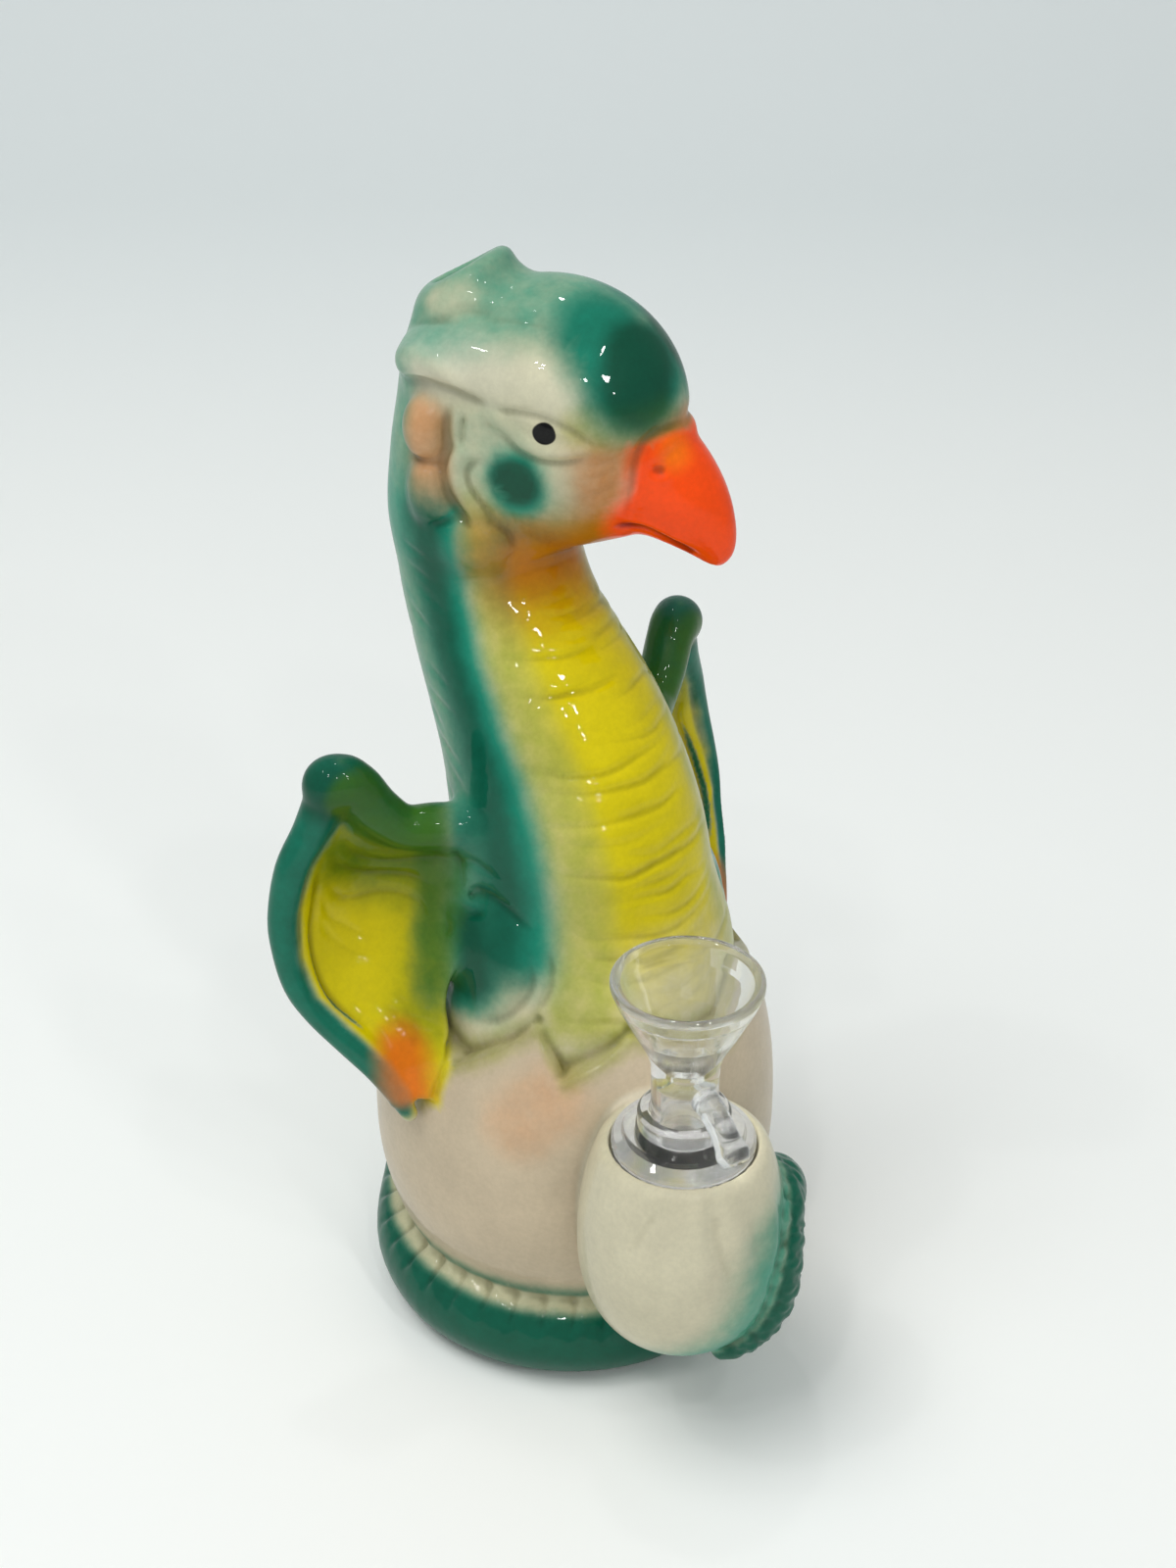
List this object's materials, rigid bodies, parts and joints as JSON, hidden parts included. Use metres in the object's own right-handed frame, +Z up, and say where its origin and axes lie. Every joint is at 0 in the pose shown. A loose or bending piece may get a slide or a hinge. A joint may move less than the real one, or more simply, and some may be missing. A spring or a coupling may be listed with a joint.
{
  "type": "ceramic figurine water pipe",
  "caption": "Glazed ceramic hatchling rising from a cracked egg, used as a water pipe, with wings, a coiled tail and a lift-out glass bowl in a small egg-shaped socket.",
  "frame": {"origin": "centre of the egg's flat foot, on the surface that the figure stands on", "axes": "+Z up; the figure faces -Y, so its right side is -X; the glass bowl's socket is at its right front"},
  "size_m": [0.1257, 0.1231, 0.2383],
  "materials": {
    "pink_glaze": "clear high-gloss glaze over pinkish-beige body colour",
    "yellow_glaze": "clear high-gloss glaze over airbrushed yellow and teal",
    "cream_glaze": "clear high-gloss glaze over airbrushed cream, green and orange",
    "teal_glaze": "clear high-gloss glaze over airbrushed teal",
    "olive_glaze": "clear high-gloss glaze over airbrushed yellow, green and orange",
    "clear_glass": "clear, fire-polished",
    "black_rubber": "satin moulded rubber"
  },
  "bodies": {
    "ceramic": {"egg_shell": "pink_glaze", "body_and_neck": "yellow_glaze", "head": "cream_glaze", "mouthpiece": "teal_glaze", "right_wing": "olive_glaze", "left_wing": "olive_glaze", "bowl_socket": "pink_glaze", "tail": "teal_glaze"},
    "grommet": {"grommet": "black_rubber"},
    "downstem": {"downstem": "clear_glass"},
    "bowl": {"glass_bowl": "clear_glass", "bowl_handle": "clear_glass"}
  },
  "joints": [
    {"name": "grommet_pull", "type": "slide", "parent": "ceramic", "child": "grommet", "axis": [0, 0, 1], "range_m": [0, 0.055]},
    {"name": "downstem_turn", "type": "hinge", "parent": "grommet", "child": "downstem", "pos_m": [-0.0198, -0.0539, 0.0753], "axis": [0, 0, 1], "range_deg": [-130, 130]},
    {"name": "bowl_lift", "type": "slide", "parent": "downstem", "child": "bowl", "axis": [0, 0, 1], "range_m": [0, 0.03]}
  ]
}
